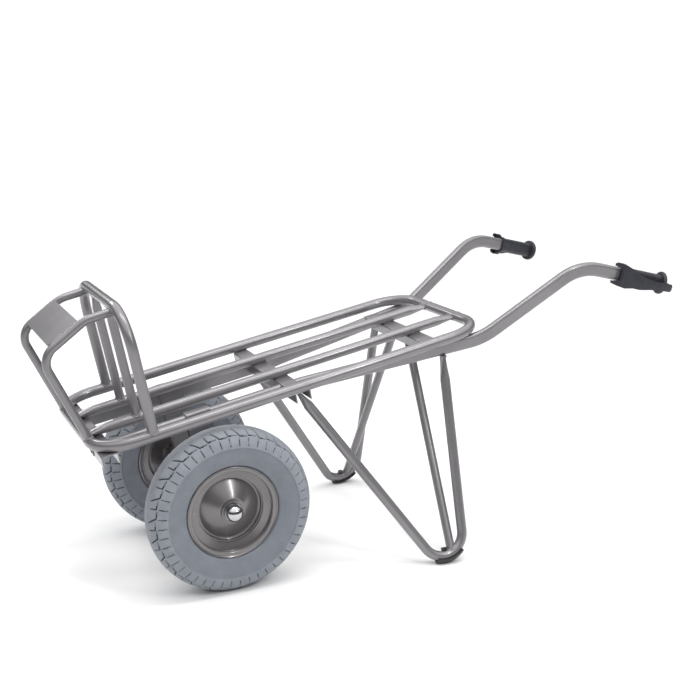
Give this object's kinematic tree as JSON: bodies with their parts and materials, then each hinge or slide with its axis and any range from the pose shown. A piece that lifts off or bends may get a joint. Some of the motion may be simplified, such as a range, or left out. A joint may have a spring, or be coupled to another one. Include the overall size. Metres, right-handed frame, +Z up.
{
  "type": "two-wheeled carrying cart",
  "caption": "Tubular steel push cart with a sloping ladder bed, front rack, long bent handles with guarded grips, puncture-proof wheels on a cross axle and V-shaped rest legs.",
  "frame": {"origin": "on the floor, under the middle of the bounding box", "axes": "+X from the front rack towards the grips, +Y to the right of a person pushing the cart, +Z up"},
  "size_m": [1.5779, 0.6822, 0.7228],
  "materials": {
    "frame_paint": "glossy metallic warm grey paint",
    "rim_paint": "glossy dark warm grey paint",
    "tyre": "matt blue-grey solid foam tyre",
    "chrome_cap": "polished",
    "plain_steel": "zinc plated",
    "bearing_steel": "ground, black seals",
    "black_steel": "blackened",
    "grip_rubber": "semi-matt blue-black",
    "pad_plastic": "matt black"
  },
  "bodies": {
    "frame": {"axle": "plain_steel", "axle_bracket_left": "frame_paint", "axle_bracket_right": "frame_paint", "axle_cap_left": "chrome_cap", "axle_cap_right": "chrome_cap", "axle_spacer_left": "plain_steel", "axle_spacer_right": "plain_steel", "axle_washers": "plain_steel", "bed_inner_rail_left": "frame_paint", "bed_inner_rail_right": "frame_paint", "bed_loop": "frame_paint", "bracket_bush_left": "frame_paint", "bracket_bush_right": "frame_paint", "cross_member_front": "frame_paint", "cross_member_middle": "frame_paint", "cross_member_rear": "frame_paint", "foot_bolts": "black_steel", "foot_pad_left": "pad_plastic", "foot_pad_right": "pad_plastic", "grip_left": "grip_rubber", "grip_right": "grip_rubber", "handle_tube_left": "frame_paint", "handle_tube_right": "frame_paint", "leg_brace_left": "frame_paint", "leg_brace_right": "frame_paint", "leg_hoop_left": "frame_paint", "leg_hoop_right": "frame_paint", "rack_hoop": "frame_paint", "rack_strut_left": "frame_paint", "rack_strut_right": "frame_paint", "rack_top_plate": "frame_paint", "rack_upright_left": "frame_paint", "rack_upright_right": "frame_paint"},
    "wheel_right": {"tyre_right": "tyre", "rim_right": "rim_paint", "wheel_disc_right": "rim_paint", "wheel_hub_right": "rim_paint", "bearing_inner_right": "bearing_steel", "bearing_outer_right": "bearing_steel"},
    "wheel_left": {"tyre_left": "tyre", "rim_left": "rim_paint", "wheel_disc_left": "rim_paint", "wheel_hub_left": "rim_paint", "bearing_inner_left": "bearing_steel", "bearing_outer_left": "bearing_steel"}
  },
  "joints": [
    {"name": "wheel_right_spin", "type": "hinge", "parent": "frame", "child": "wheel_right", "pos_m": [-0.3938, 0.2095, 0.2], "axis": [0, 1, 0], "continuous": true},
    {"name": "wheel_left_spin", "type": "hinge", "parent": "frame", "child": "wheel_left", "pos_m": [-0.3938, -0.2095, 0.2], "axis": [0, 1, 0], "continuous": true}
  ]
}
